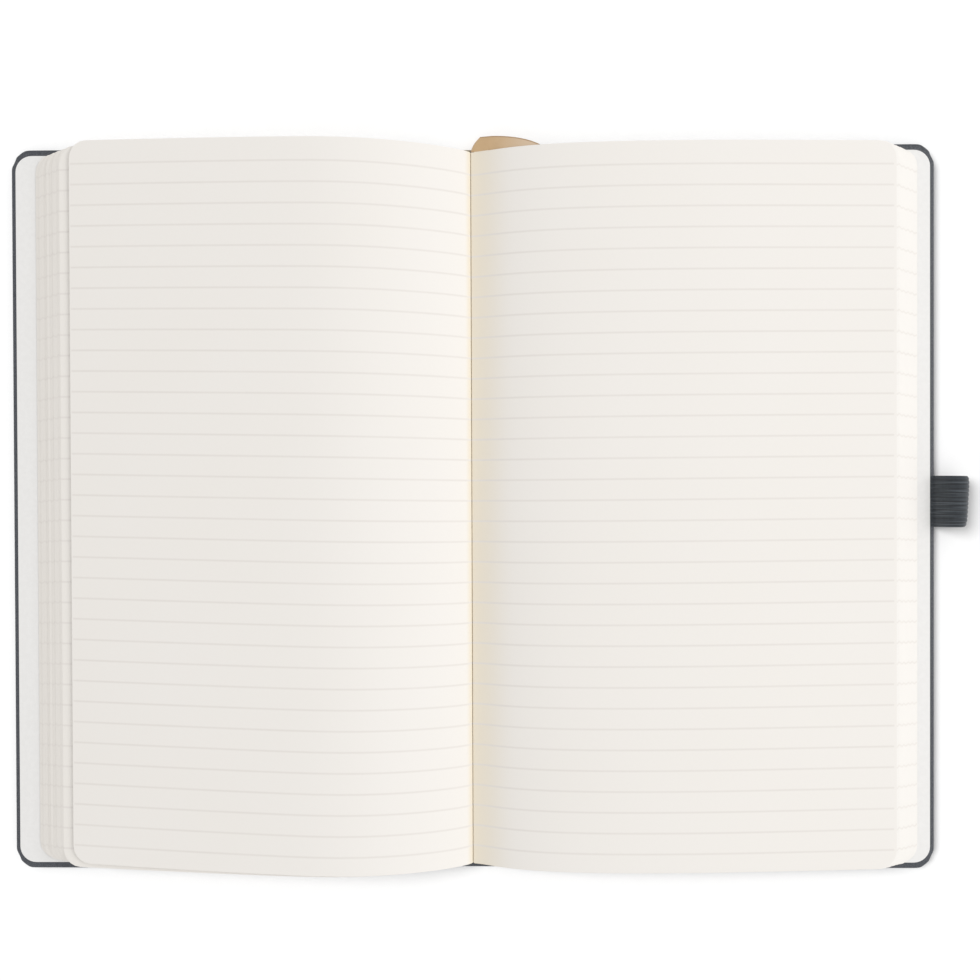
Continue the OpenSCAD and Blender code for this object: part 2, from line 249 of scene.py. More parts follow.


# %% The colour of the sheet, with painted light and painted shade
def stock_colour(tree, place, from_edge, under):
    """Cream with faint clouds; painted light pales the right fanned edges, painted shade darkens the fold.
    """
    stock = blend_colours(tree, noise_at(tree, place, 30 * MM), PAPER, PAPER_WARM)
    tone = add_node(tree, "ShaderNodeAttribute", attribute_name="tone").outputs["Fac"]
    stock = blend_colours(tree, tone, stock, PAPER_WARM)
    from_fold = add_node(tree, "ShaderNodeSeparateXYZ", {0: place}).outputs["X"]
    # Painted light: the lower leaves' fore edges on the right, which face the lamp, are painted paler.
    far_right = fade(tree, from_fold, 100 * MM, 118 * MM)
    painted_lit_edge = calc(tree, "MULTIPLY", fade(tree, from_edge, 7 * MM, 2 * MM), far_right)
    stock = blend_colours(tree, calc(tree, "MULTIPLY", under, painted_lit_edge), stock, PAPER_PAINTED_LIT)
    # Painted shade: a darker, warmer band on the right page beside the fold, where the pages shade it.
    right_of_fold = fade(tree, from_fold, -1.8 * MM, -0.2 * MM)
    painted_fold_shade = calc(tree, "MULTIPLY", fade(tree, from_fold, 13 * MM, 0), right_of_fold)
    return blend_colours(tree, painted_fold_shade, stock, FOLD_PAINTED_SHADE)


# %% The paper's finish
def ruled_paper():
    material, tree, shader, place = new_finish("ruled_paper", 0.9, Specular_IOR_Level=0.25)
    page = add_node(tree, "ShaderNodeUVMap", uv_map="page").outputs["UV"]
    split = add_node(tree, "ShaderNodeSeparateXYZ", {0: page})
    from_edge, height = split.outputs["X"], split.outputs["Y"]
    under = add_node(tree, "ShaderNodeAttribute", attribute_name="under").outputs["Fac"]
    ink = on_a_line(tree, place, from_edge, height, under)
    colour = blend_colours(tree, ink, stock_colour(tree, place, from_edge, under), INK)
    tree.links.new(colour, shader.inputs["Base Color"])
    bump(tree, shader, noise_at(tree, place, 0.5 * MM, detail=4.0), 0.02 * MM, 0.35)
    return material


PAPER_FINISH = ruled_paper()
print("ruling", LINES, "lines, last at mm", round((FIRST_LINE - (LINES - 1) * LINE_PITCH) / MM, 2))

# %% [markdown]
# ## The other finishes
#
# Leatherette has a fine pebble grain of small cells with creases between them. The endpaper is a
# smooth white sheet, the board a speckled grey, the card a plain buff and the gauze an open weave.

# %% Leatherette
def leatherette():
    material, tree, shader, place = new_finish(
        "leatherette", 0.5, Specular_IOR_Level=0.55, Sheen_Weight=0.15, Sheen_Roughness=0.5
    )
    cells = add_node(
        tree,
        "ShaderNodeTexVoronoi",
        {"Vector": place, "Scale": 1 / (0.55 * MM), "Randomness": 1.0},
        feature="DISTANCE_TO_EDGE",
    ).outputs["Distance"]
    creases = fade(tree, cells, 0.0, 0.22)
    cloud = noise_at(tree, place, 6 * MM, detail=3.0)
    slate = blend_colours(tree, cloud, (0.061, 0.068, 0.081, 1), (0.090, 0.098, 0.113, 1))
    # Painted shade: the creases between the grain's cells are painted darker.
    colour = blend_colours(tree, creases, (0.040, 0.044, 0.054, 1), slate)
    tree.links.new(colour, shader.inputs["Base Color"])
    rough = add_node(tree, "ShaderNodeMapRange", {0: cloud, 3: 0.46, 4: 0.6}).outputs[0]
    tree.links.new(rough, shader.inputs["Roughness"])
    fine = noise_at(tree, place, 0.12 * MM, detail=3.0)
    bump(tree, shader, calc(tree, "ADD", creases, calc(tree, "MULTIPLY", fine, 0.3)), 0.035 * MM, 0.7)
    return material


LEATHER_FINISH = leatherette()

# %% Endpaper, board, card and gauze
def speckled(name, roughness, ground, speck, speck_size, depth):
    material, tree, shader, place = new_finish(name, roughness, Specular_IOR_Level=0.25)
    fleck = fade(tree, noise_at(tree, place, speck_size, detail=4.0), 0.42, 0.6)
    tree.links.new(blend_colours(tree, fleck, ground, speck), shader.inputs["Base Color"])
    bump(tree, shader, fleck, depth, 0.4)
    return material


def woven(name, roughness, ground, thread_colour, pitch, depth):
    material, tree, shader, place = new_finish(name, roughness, Specular_IOR_Level=0.2)
    threads = []
    for axis in "XY":
        wave = add_node(
            tree,
            "ShaderNodeTexWave",
            {"Vector": place, "Scale": 1 / (3.2 * pitch), "Distortion": 0.4},
            bands_direction=axis,
        )
        threads.append(wave.outputs["Fac"])
    cloth = calc(tree, "MAXIMUM", *threads)
    tree.links.new(blend_colours(tree, cloth, ground, thread_colour), shader.inputs["Base Color"])
    bump(tree, shader, cloth, depth, 0.6)
    return material


ENDPAPER_FINISH = speckled(
    "endpaper", 0.75, (0.86, 0.85, 0.835, 1), (0.875, 0.865, 0.85, 1), 1.5 * MM, 0.01 * MM
)
BOARD_FINISH = speckled("greyboard", 0.9, (0.34, 0.31, 0.27, 1), (0.26, 0.24, 0.21, 1), 0.6 * MM, 0.03 * MM)
CARD_FINISH = speckled("card", 0.85, (0.47, 0.41, 0.31, 1), (0.43, 0.37, 0.28, 1), 0.8 * MM, 0.02 * MM)
GAUZE_FINISH = woven("gauze", 0.9, (0.55, 0.52, 0.44, 1), (0.78, 0.76, 0.69, 1), 1.1 * MM, 0.05 * MM)


def dress(node_name, material):
    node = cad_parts[node_name]
    for slot in node.material_slots:
        slot.material = material


for node_name, material in {
    "front_board": BOARD_FINISH,
    "back_board": BOARD_FINISH,
    "spine_strip": CARD_FINISH,
    "spine_lining": GAUZE_FINISH,
    "front_pastedown": ENDPAPER_FINISH,
    "back_pastedown": ENDPAPER_FINISH,
}.items():
    dress(node_name, material)
print("finishes", len(bpy.data.materials))

# %% [markdown]
# ## How a leaf bends
#
# Every leaf is sewn in at the back, rises out of the gutter, arches over a hump and runs down to its
# fore edge. Two Bezier curves in a row describe that: gutter to hump, and hump to fore edge. The depth
# w runs from 0, beside the cover, to 1, on top, and all seven guide points slide between their lowest
# and their highest place with it. So the leaves nest, and the top one follows the solid's skin.
#
# Each half of the book has its own values. Its lowest leaf goes out as far as "reach", and the top one
# less far by "fan"; the loose leaf on the left lies further in still, by "setback". "rise" is the first
# handle out of the fold, "hump" the crest, "round" how slowly the page bends over it, and "fore" the
# height and slope at the fore edge. "climb" is the slant at which a page lies. The names that end in
# "under" are for the leaves below the top one, and "fanned" is the depth at which they are all fanned.
# "line_start" is how far in from its fore edge the top page is ruled, and "tail_cut" how far out of
# square the lower leaves are trimmed.

# %% The two halves of the book
BASE_Z = COVER_TOP + 0.1 * MM
GUTTER_Z = BACK_Z + 1.3 * MM
LEAF_HALF = HALF_HEIGHT - 1.75 * MM
LOWEST_RISE = 0.5 * MM
LOWEST_BEND = 2 * MM
LEFT = {
    "side": -1,
    "reach": COVER_HALF - 7.1 * MM,
    "fan": 8.5 * MM,
    "setback": 4 * MM,
    "rise": (0.2 * MM, 2.4 * MM),
    "hump": (41 * MM, BASE_Z + 12.7 * MM),
    "round": 23 * MM,
    "fore": (BASE_Z + 5.7 * MM, 0.13),
    "climb": math.tan(math.radians(1.1)),
    "climb_under": math.tan(math.radians(0.45)),
    "fore_under": 0.95,
    "fan_under": 9.2 * MM,
    "fanned": 0.935,
    "tail_cut": 1.2 * MM,
    "line_start": 0.1 * MM,
}
RIGHT = {
    "side": 1,
    "reach": COVER_HALF - 4.9 * MM,
    "fan": 8.3 * MM,
    "setback": 0.0,
    "rise": (7.9 * MM, 1.6 * MM),
    "hump": (52 * MM, BASE_Z + 8.6 * MM),
    "round": 42 * MM,
    "fore": (BASE_Z + 5.9 * MM, 0.05),
    "climb": math.tan(math.radians(0.35)),
    "climb_under": math.tan(math.radians(0.35)),
    "fore_under": 1.0,
    "fan_under": 8.3 * MM,
    "fanned": 1.0,
    "tail_cut": 0.0,
    "line_start": 0.5 * MM,
}


def leaf_guides(half, w, edge_x):
    hump_x, hump_z = half["hump"]
    fore_z, slope = half["fore"]
    rise_x, rise_z = half["rise"]
    start = (mix(HALF_SPINE, 0, w), mix(BACK_Z, GUTTER_Z, w))
    crest = mix(BASE_Z, hump_z, w)
    edge_z = mix(BASE_Z, fore_z, w if w == 1 else w * half["fore_under"])
    guides = [
        start,
        (start[0] + mix(LOWEST_RISE, rise_x, w), start[1] + mix(BASE_Z - BACK_Z, rise_z, w)),
        (mix(HALF_SPINE + LOWEST_BEND, hump_x - half["round"], w), crest),
        (hump_x, crest),
        (hump_x + half["round"] / 2, crest),
        (edge_x - half["round"], edge_z + slope * w * half["round"]),
        (edge_x, edge_z),
    ]
    return [Vector((x, 0, z)) for x, z in guides]


def leaf_curve(half, w, edge_x, steps=26):
    """Points along the upper side of the leaf at depth w, from its fold to its fore edge."""
    g = leaf_guides(half, w, edge_x)
    to_hump = interpolate_bezier(g[0], g[1], g[2], g[3], steps)
    to_edge = interpolate_bezier(g[3], g[4], g[5], g[6], steps)
    return to_hump + to_edge[1:]


top_left = leaf_curve(LEFT, 1, LEFT["reach"] - LEFT["fan"])
print("top left leaf rises to mm", round(max(point.z for point in top_left) / MM, 2))

# %% [markdown]
# ## How leaves lie on each other
#
# Real leaves don't spread evenly over the hump. Those of one gathering keep together, with a little air
# between gatherings, and all meet again at the fold and at the fore edge. So each leaf has a second
# depth that is pulled towards its gathering's middle, and it uses that one in mid-page.
#
# The fore edges fan out unevenly too. Each leaf steps in from the one below by its own small amount:
# two slow waves and a random part, which all fade out at both ends of the fan.

# %% Spacing of the leaves
LEAVES = 60
GATHERING = 10
PULL_TOGETHER = 0.35
NOT_PULLED = 0.98
FAN_WAVES = ((0.01, 23, 0), (0.005, 57, 1))
FAN_JITTER = 0.006
LEAF_THICK = 0.085 * MM
RIBBON_X = 25 * MM
RIBBON_DEPTH = 0.525 * MM
RIBBON_ROOM = 0.16 * MM
random.seed(7)


def pulled_depth(w):
    gathering = (math.floor(w * LEAVES / GATHERING) + 0.5) * GATHERING / LEAVES
    return w if w > NOT_PULLED else mix(w, gathering, PULL_TOGETHER)


def draped_curve(half, w, edge_x):
    """A leaf's curve, pulled towards its gathering in mid-page and not at its two ends."""
    even = leaf_curve(half, w, edge_x)
    pulled = leaf_curve(half, pulled_depth(w), edge_x)
    last = len(even) - 1
    return [a.lerp(b, math.sin(math.pi * k / last) ** 2) for k, (a, b) in enumerate(zip(even, pulled))]


def fore_edge_x(half, w):
    """How far out a leaf reaches: the fan, and past it the loose leaf on top."""
    if w == 1 and half["setback"]:
        return half["reach"] - half["fan"] - half["setback"]
    share = min(1, w / half["fanned"])
    uneven = sum(high * math.sin(turns * share + start) for high, turns, start in FAN_WAVES)
    uneven += random.uniform(-FAN_JITTER, FAN_JITTER)
    return half["reach"] - half["fan_under"] * min(1, max(0, share + uneven * (1 - share) * 4 * share))


def cut_short(curve, x):
    """The part of a curve as far as this distance from the fold."""
    kept = [p for p in curve if p.x < x]
    near, far = kept[-1], curve[len(kept)]
    return kept + [near.lerp(far, (x - near.x) / (far.x - near.x))]


def height_over(curve, x):
    for near, far in zip(curve, curve[1:]):
        if near.x <= x <= far.x:
            return mix(near.z, far.z, (x - near.x) / (far.x - near.x))


def depths(half):
    """Depths of the leaves of one half; none lies where the ribbon or the air under the loose leaf is."""
    top = leaf_curve(half, 1, half["reach"] - half["fan"])
    ribbon_z = height_over(top, RIBBON_X) - RIBBON_DEPTH
    kept = []
    for k in range(1, LEAVES + 1):
        w = k / LEAVES
        over = height_over(leaf_curve(half, w, half["reach"]), RIBBON_X)
        at_ribbon = half is RIGHT and abs(over - ribbon_z) < RIBBON_ROOM
        in_air = half["fanned"] < w < 1
        if not at_ribbon and not in_air:
            kept.append(w)
    return kept


for half in (LEFT, RIGHT):
    print("leaves", "left" if half is LEFT else "right", len(depths(half)))

# %% [markdown]
# ## One leaf
#
# A leaf starts as a flat rectangle of four vertices. Its two fore corners are bevelled round, it is cut
# across where it will bend, and it is extruded to a thickness of one. Then every vertex is carried
# over: how far out it lies says where along the curve it goes, and its height says which side of the
# paper it is on. The cuts lie close together near the gutter, where the curve is tight.
#
# The lower leaves on the left aren't trimmed quite square: their tails rise a little towards the fore
# edge and leave the cover's turned-in rim in view there.
#
# The lowest leaf of each half is the free half of the endpaper, so it isn't ruled: its page map is
# moved off the ruling.
#
# On the left the top leaf lies loose, and the leaf below it shows as a pale strip beside it. So that
# one counts as an open page too. The lines of all the lower leaves run off their fore edges.

# %% A flat leaf with rounded fore corners
LEAF_CORNER = 5 * MM
OFF_THE_RULING = 1.0
CUTS = [0.004, 0.01, 0.018, 0.03, 0.045, 0.065, 0.09, 0.12, 0.155, 0.195, 0.24, 0.29, 0.345, 0.405]
CUTS += [0.47, 0.54, 0.62, 0.71, 0.81, 0.9]


def cut_across(bm, places, axis):
    """Cuts everything at these places along an axis."""
    normal = Vector((0, 0, 0))
    normal[axis] = 1
    for place in places:
        everything = bm.verts[:] + bm.edges[:] + bm.faces[:]
        bmesh.ops.bisect_plane(bm, geom=everything, plane_co=normal * place, plane_no=normal)


def rounded_sheet(bm, x0, x1, half_y, radius, segments):
    """A flat sheet between two places on X, with its two corners at x1 rounded."""
    corners = [(x0, -half_y), (x1, -half_y), (x1, half_y), (x0, half_y)]
    bm.faces.new([bm.verts.new((x, y, 0)) for x, y in corners])
    bmesh.ops.bevel(
        bm,
        geom=[v for v in bm.verts if abs(v.co.x - x1) < 1e-6],
        affect="VERTICES",
        offset=radius,
        segments=segments,
        profile=0.5,
        material=-1,
    )


def raise_by_one(bm):
    """Gives a flat sheet a thickness of one, upwards."""
    lifted = bmesh.ops.extrude_face_region(bm, geom=bm.faces[:])["geom"]
    bmesh.ops.translate(bm, vec=(0, 0, 1), verts=[v for v in lifted if isinstance(v, bmesh.types.BMVert)])


def flat_leaf(length, margin, tone, under, tail_cut, ruled):
    bm = bmesh.new()
    rounded_sheet(bm, 0, length, LEAF_HALF, LEAF_CORNER, 5)
    for vert in bm.verts:
        if vert.co.y < 0:
            vert.co.y += tail_cut * vert.co.x / length
    cut_across(bm, [length * share for share in CUTS], 0)
    page = bm.loops.layers.uv.new("page")
    shade = bm.faces.layers.float.new("tone")
    covered = bm.faces.layers.float.new("under")
    raise_by_one(bm)
    for face in bm.faces:
        face[shade] = tone
        face[covered] = under
        for loop in face.loops:
            height = loop.vert.co.y if ruled else loop.vert.co.y + OFF_THE_RULING
            loop[page].uv = (length - loop.vert.co.x - margin, height)
    return bm


# %% Points along a curve
def lengths_along(curve):
    total, found = 0.0, [0.0]
    for near, far in zip(curve, curve[1:]):
        total += (far - near).length
        found.append(total)
    return found


def along_path(path, reached, distance):
    """The point this far along a path, and the direction there."""
    last = len(path) - 1
    k = min(last - 1, max(0, bisect_right(reached, distance) - 1))
    share = (distance - reached[k]) / (reached[k + 1] - reached[k])
    before, after = path[max(0, k - 1)], path[min(last, k + 2)]
    ahead = (path[k + 1] - before).lerp(after - path[k], min(1, max(0, share))).normalized()
    return path[k].lerp(path[k + 1], share), ahead


# %% Carry a flat leaf onto its curve
def bend_leaf(bm, curve, thick, side, climb, shift):
    reached = lengths_along(curve)
    for vert in bm.verts:
        point, ahead = along_path(curve, reached, vert.co.x)
        below = Vector((ahead.z, 0, -ahead.x))
        place = point + below * thick * (1 - vert.co.z)
        vert.co = Vector((side * place.x, vert.co.y + climb * place.x + shift, place.z))


# %% Each leaf's way from its fold to its edge
BLEED = -1.5 * MM
HAIR = 0.01 * MM
STUB_IN = 0.02 * MM
STUB_DOWN = 2 * MM
STUB_LOWEST = BACK_Z + 0.3 * MM
SHORTEST_STUB = 0.1 * MM
WAVE_SHIFT = 0.2 * MM
JITTER_SHIFT = 0.05 * MM


def curve_of_leaf(half, w, edge_x):
    """The leaf's whole way, with the short stub below its fold that is glued to the lining."""
    curve = draped_curve(half, w, edge_x)
    if w == 1:
        curve = cut_short(leaf_curve(half, 1, half["reach"] - half["fan"] + HAIR), edge_x)
    fold = curve[0]
    stub = Vector((fold.x + STUB_IN, 0, max(STUB_LOWEST, fold.z - STUB_DOWN)))
    return [stub] + curve if stub.z < fold.z - SHORTEST_STUB else curve


def shift_along_spine(w):
    """Leaves don't lie quite level with each other at head and tail."""
    return WAVE_SHIFT * math.sin(31 * w) + random.gauss(0, JITTER_SHIFT)


# %% All the leaves
def leaves_of(half, block):
    kept = depths(half)
    strip = kept[-2] if half["setback"] else None
    for w in kept:
        on_top = w == 1
        curve = curve_of_leaf(half, w, fore_edge_x(half, w))
        length = lengths_along(curve)[-1]
        tone = random.uniform(0.3, 1) if half is LEFT and not on_top else random.uniform(0, 0.4)
        under = 0.0 if on_top or w == strip else 1.0
        margin = half["line_start"] if on_top else BLEED
        tail_cut = half["tail_cut"] * under
        bm = flat_leaf(length, margin, tone, under, tail_cut, ruled=w != kept[0])
        climb = half["climb"] if on_top else half["climb_under"] * w
        shift = 0.0 if on_top else shift_along_spine(w)
        bend_leaf(bm, curve, LEAF_THICK, half["side"], climb, shift)
        bmesh.ops.recalc_face_normals(bm, faces=bm.faces)
        one = bpy.data.meshes.new("one_leaf")
        bm.to_mesh(one)
        bm.free()
        block.from_mesh(one)
        bpy.data.meshes.remove(one)


block = bmesh.new()
leaves_of(LEFT, block)
leaves_of(RIGHT, block)
finish_piece(block, "leaves", "root", PAPER_FINISH, ["text_block"])

# %% [markdown]
# ## Leatherette round the boards
#
# A cover is a grey board with leatherette glued over its outside and turned in over its edges. The
# leatherette is one wall all the way: under the board, up its edge and 15 mm in on top, where the
# endpaper hides it. So the piece starts as the outside of a slab, loses the faces in the middle of its
# top, has its edges bevelled round, and is then given its thickness inwards.
#
# Between board and spine the leatherette is pressed up into a groove, and that is where a cover turns.
#
# At the head of an open book the leatherette over the spine is pulled in a little between the two
# covers, so it doesn't show past the leaves there.

# %% Outside and bed of a cover
GROOVE = 1 * MM
CROWN_TOP = SKIN + GROOVE
TURN_IN = 15 * MM
TURN_IN_X = COVER_HALF - SKIN - TURN_IN
TURN_IN_Y = HALF_HEIGHT - SKIN - TURN_IN
COVER_CORNER = 6 * MM
EDGE_ROUND = 0.38 * MM
JOINT_COLUMNS = [BOARD_X - JOINT * k / 12 for k in range(13)]


def skin_z(x):
    return GROOVE * ease(1 - min(1, abs(abs(x) - HINGE_X) / (JOINT / 2)))


def bed_z(x):
    a = abs(x)
    if a <= HALF_SPINE:
        return STRIP_TOP
    if a <= HINGE_X:
        return mix(STRIP_TOP, CROWN_TOP, ease((a - HALF_SPINE) / (JOINT / 2)))
    if a <= BOARD_X:
        return mix(CROWN_TOP, BOARD_TOP, ease((a - HINGE_X) / (JOINT / 2)))
    return BOARD_TOP


# %% Wrap a sheet round its board
def is_turn_in_gap(face):
    middle = face.calc_center_median()
    return face.normal.z > 0.5 and abs(middle.y) < TURN_IN_Y and abs(middle.x) < TURN_IN_X


def is_cut_end(face):
    return abs(face.normal.x) > 0.9 and all(abs(abs(v.co.x) - HALF_SPINE) < 1e-6 for v in face.verts)


def is_outline(edge):
    slopes = sorted(abs(face.normal.z) for face in edge.link_faces)
    return len(slopes) == 2 and slopes[0] < 0.1 and slopes[1] > 0.5


def wrap_leather(bm):
    cut_across(bm, [-TURN_IN_Y, TURN_IN_Y], 1)
    raise_by_one(bm)
    for vert in bm.verts:
        x = vert.co.x
        vert.co.z = mix(skin_z(x), bed_z(x) + SKIN, vert.co.z)
    bmesh.ops.recalc_face_normals(bm, faces=bm.faces)
    gone = [f for f in bm.faces if is_turn_in_gap(f) or is_cut_end(f)]
    bmesh.ops.delete(bm, geom=gone, context="FACES")
    bmesh.ops.bevel(
        bm,
        geom=[e for e in bm.edges if is_outline(e)],
        affect="EDGES",
        offset=EDGE_ROUND,
        segments=3,
        profile=0.5,
        material=-1,
    )


def pleat_corner(bm, depth=0.42 * MM, folds=2):
    """Folds where the leatherette is gathered round a board's corner; none where the corner ends."""
    centre_x, centre_y = COVER_HALF - COVER_CORNER, HALF_HEIGHT - COVER_CORNER
    for vert in bm.verts:
        out_x, out_y = vert.co.x - centre_x, abs(vert.co.y) - centre_y
        if out_x > 0 and out_y > 0 and math.hypot(out_x, out_y) > COVER_CORNER - 1.5 * EDGE_ROUND:
            angle = math.atan2(out_y, out_x)
            fold = depth * (math.cos(4 * folds * angle) - 1) / 2 * math.sin(2 * angle)
            vert.co.x += fold * math.cos(angle)
            vert.co.y += math.copysign(fold * math.sin(angle), vert.co.y)
            if vert.co.z > COVER_TOP / 2:
                vert.co.z += 0.5 * fold


def give_thickness(bm):
    bmesh.ops.recalc_face_normals(bm, faces=bm.faces)
    bmesh.ops.solidify(bm, geom=bm.faces[:], thickness=SKIN)


# %% The two covers' leatherette
def cover_leather(name, side, node_name):
    bm = bmesh.new()
    rounded_sheet(bm, HALF_SPINE, COVER_HALF, HALF_HEIGHT, COVER_CORNER, 20)
    cut_across(bm, JOINT_COLUMNS[:-1] + [TURN_IN_X], 0)
    wrap_leather(bm)
    pleat_corner(bm)
    give_thickness(bm)
    bmesh.ops.scale(bm, vec=(side, 1, 1), verts=bm.verts)
    piece = finish_piece(bm, name, None, LEATHER_FINISH, [node_name])
    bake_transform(piece)


cover_leather("front_leatherette", -1, "front_cover_skin")
cover_leather("back_leatherette", 1, "back_cover_skin")

# %% The spine's leatherette
HEAD_DIP = 1.0 * MM

bm = bmesh.new()
rounded_sheet(bm, -HALF_SPINE, HALF_SPINE, HALF_HEIGHT, 0.001 * MM, 1)
cut_across(bm, [HALF_SPINE * k / 5 for k in range(-4, 5)], 0)
wrap_leather(bm)
for vert in bm.verts:
    if vert.co.y > TURN_IN_Y:
        vert.co.y -= HEAD_DIP * math.cos(math.pi / 2 * vert.co.x / HALF_SPINE) ** 2
give_thickness(bm)
finish_piece(bm, "spine_leatherette", "root", LEATHER_FINISH, ["spine_skin"])

# %% [markdown]
# ## Satin ribbon
#
# A flat ribbon is glued behind the back of the leaves, comes out at the head, folds over on a slant
# and goes in under the top right leaf, where it turns down the page. Satin shines along its threads,
# which run along the ribbon, so the finish has fine lengthwise lines and a broad soft sheen.

# %% Satin
RIBBON_W = 5 * MM
RIBBON_THICK = 0.2 * MM


def satin():
    material, tree, shader, _ = new_finish(
        "satin", 0.42, Specular_IOR_Level=0.55, Sheen_Weight=0.35, Sheen_Roughness=0.35
    )
    place = add_node(tree, "ShaderNodeUVMap", uv_map="strip").outputs["UV"]
    split = add_node(tree, "ShaderNodeSeparateXYZ", {0: place})
    across, along = split.outputs["X"], split.outputs["Y"]
    ribs = calc(tree, "SINE", calc(tree, "MULTIPLY", along, 2 * math.pi / (0.35 * MM)))
    threads = calc(tree, "SINE", calc(tree, "MULTIPLY", across, 2 * math.pi / (0.14 * MM)))
    # Painted shade: both long edges of the ribbon are painted darker.
    painted_edge_shade = fade(tree, calc(tree, "ABSOLUTE", across), 2.1 * MM, 2.35 * MM)
    cloud = noise_at(tree, place, 3 * MM)
    tan = blend_colours(tree, cloud, (0.60, 0.395, 0.205, 1), (0.68, 0.47, 0.26, 1))
    # Painted light: further along, past its fold, the ribbon is painted paler.
    turned = fade(tree, along, 22 * MM, 36 * MM)
    tan = blend_colours(tree, turned, tan, (0.71, 0.545, 0.385, 1))
    colour = blend_colours(tree, painted_edge_shade, tan, (0.42, 0.26, 0.13, 1))
    tree.links.new(colour, shader.inputs["Base Color"])
    height = calc(tree, "ADD", calc(tree, "MULTIPLY", ribs, 0.5), threads)
    bump(tree, shader, height, 0.008 * MM, 0.5)
    return material


# %% A flat strip carried along a path
def flat_strip(length, width, steps_along, steps_across):
    """A strip of thickness one: X along it and Y across, with its UV in metres."""
    bm = bmesh.new()
    corners = [(0, -width / 2), (length, -width / 2), (length, width / 2), (0, width / 2)]
    bm.faces.new([bm.verts.new((x, y, 0)) for x, y in corners])
    cut_across(bm, [length * k / steps_along for k in range(1, steps_along)], 0)
    cut_across(bm, [width * (k / steps_across - 0.5) for k in range(1, steps_across)], 1)
    strip = bm.loops.layers.uv.new("strip")
    raise_by_one(bm)
    for face in bm.faces:
        for loop in face.loops:
            loop[strip].uv = (loop.vert.co.y, loop.vert.co.x)
    return bm


# %% Where the ribbon goes
ROOT_X, ROOT_Z = 2.9 * MM, BACK_Z + 0.125 * MM
FOLD_X = 1.6 * MM
START_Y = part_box("spine_lining")[1].y + 0.65 * MM
FOLD_Y = LEAF_HALF + 2.25 * MM
FOLD_SLANT = math.radians(57)
FOLD_ACROSS = Vector((math.cos(FOLD_SLANT), math.sin(FOLD_SLANT), 0))
FOLD_OUT = Vector((-FOLD_ACROSS.y, FOLD_ACROSS.x, 0))
FOLD_BULGE = 0.6 * MM
FLATTER_EDGES = 0.8
FOLD_LENGTH = 1.8 * MM
UNSLANTED_Y = LEAF_HALF - 4 * MM
SLANTED = 4.4 * MM
TURN_END_Y = LEAF_HALF - 13.3 * MM
RUN_END_Y = 20 * MM - LEAF_HALF

top_right = leaf_curve(RIGHT, 1, RIGHT["reach"] - RIGHT["fan"])
out_handle = Vector((mix(FOLD_X, RIBBON_X, 0.56), FOLD_Y - 1.65 * MM, 0))
down_handle = Vector((RIBBON_X, FOLD_Y - 3.4 * MM, 0))
turn = interpolate_bezier(
    Vector((FOLD_X, FOLD_Y, 0)), out_handle, down_handle, Vector((RIBBON_X, TURN_END_Y, 0)), 60
)
turn.append(Vector((RIBBON_X, RUN_END_Y, 0)))
turn_reached = lengths_along(turn)


def glued_part(distance, side):
    """The flat end behind the leaves, which turns aside more and more towards the fold."""
    y = START_Y + distance
    turned = max(0, (y - UNSLANTED_Y) / (FOLD_Y - UNSLANTED_Y))
    across = Vector((math.cos(FOLD_SLANT * turned), math.sin(FOLD_SLANT * turned), 0))
    return Vector((mix(ROOT_X, FOLD_X, turned), y, ROOT_Z)) + across * side, Vector((0, 0, 1))


def folded_part(distance, side):
    turned = math.pi * distance / FOLD_LENGTH
    bulge = FOLD_BULGE * (1 - FLATTER_EDGES * (2 * side / RIBBON_W) ** 2) * math.sin(turned)
    place = Vector((FOLD_X, FOLD_Y, 0)) + FOLD_ACROSS * side + FOLD_OUT * bulge
    high = height_over(top_right, max(0, place.x)) - RIBBON_DEPTH
    place.z = mix(ROOT_Z, high, (1 - math.cos(turned)) / 2)
    return place, Vector((0, 0, math.cos(turned))) - FOLD_OUT * math.sin(turned)


def turned_part(distance, side):
    middle, ahead = along_path(turn, turn_reached, distance)
    square_across = Vector((-ahead.y, ahead.x, 0))
    across = square_across.lerp(FOLD_ACROSS, max(0, 1 - distance / SLANTED))
    place = middle + across * side
    place.z = height_over(top_right, max(0, place.x)) - RIBBON_DEPTH
    return place, Vector((0, 0, -1))


# %% The ribbon
fold_start = FOLD_Y - START_Y
fold_end = fold_start + FOLD_LENGTH
ribbon_length = fold_end + turn_reached[-1]
bm = flat_strip(ribbon_length, RIBBON_W, 8, 8)
cut_across(bm, [mix(fold_start, fold_end, k / 12) for k in range(13)], 0)
cut_across(bm, [fold_end + turn_reached[-2] * k / 44 for k in range(1, 45)], 0)
for vert in bm.verts:
    distance, side, layer = vert.co
    if distance < fold_start:
        place, out = glued_part(distance, side)
    elif distance < fold_end:
        place, out = folded_part(distance - fold_start, side)
    else:
        place, out = turned_part(distance - fold_end, side)
    vert.co = place + out * RIBBON_THICK * (layer - 0.5)
finish_piece(bm, "satin_ribbon", "root", satin(), ["ribbon_marker"])
print("ribbon, mm long", round(ribbon_length / MM, 1))

# %% [markdown]
# ## Elastic pen loop
#
# The loop is a 15 mm wide elastic band with ridges along it, folded in two, with both ends glued in
# under the endpaper. It springs open into a drop shape as high as a pen is thick. It is made as the
# ribbon was, from a flat strip carried along a path, but its two sides are raised into ridges.

# %% Elastic
LOOP_W = 14.8 * MM
LOOP_THICK = 0.8 * MM
LOOP_Y = 1.7 * MM
LOOP_RIBS = 12


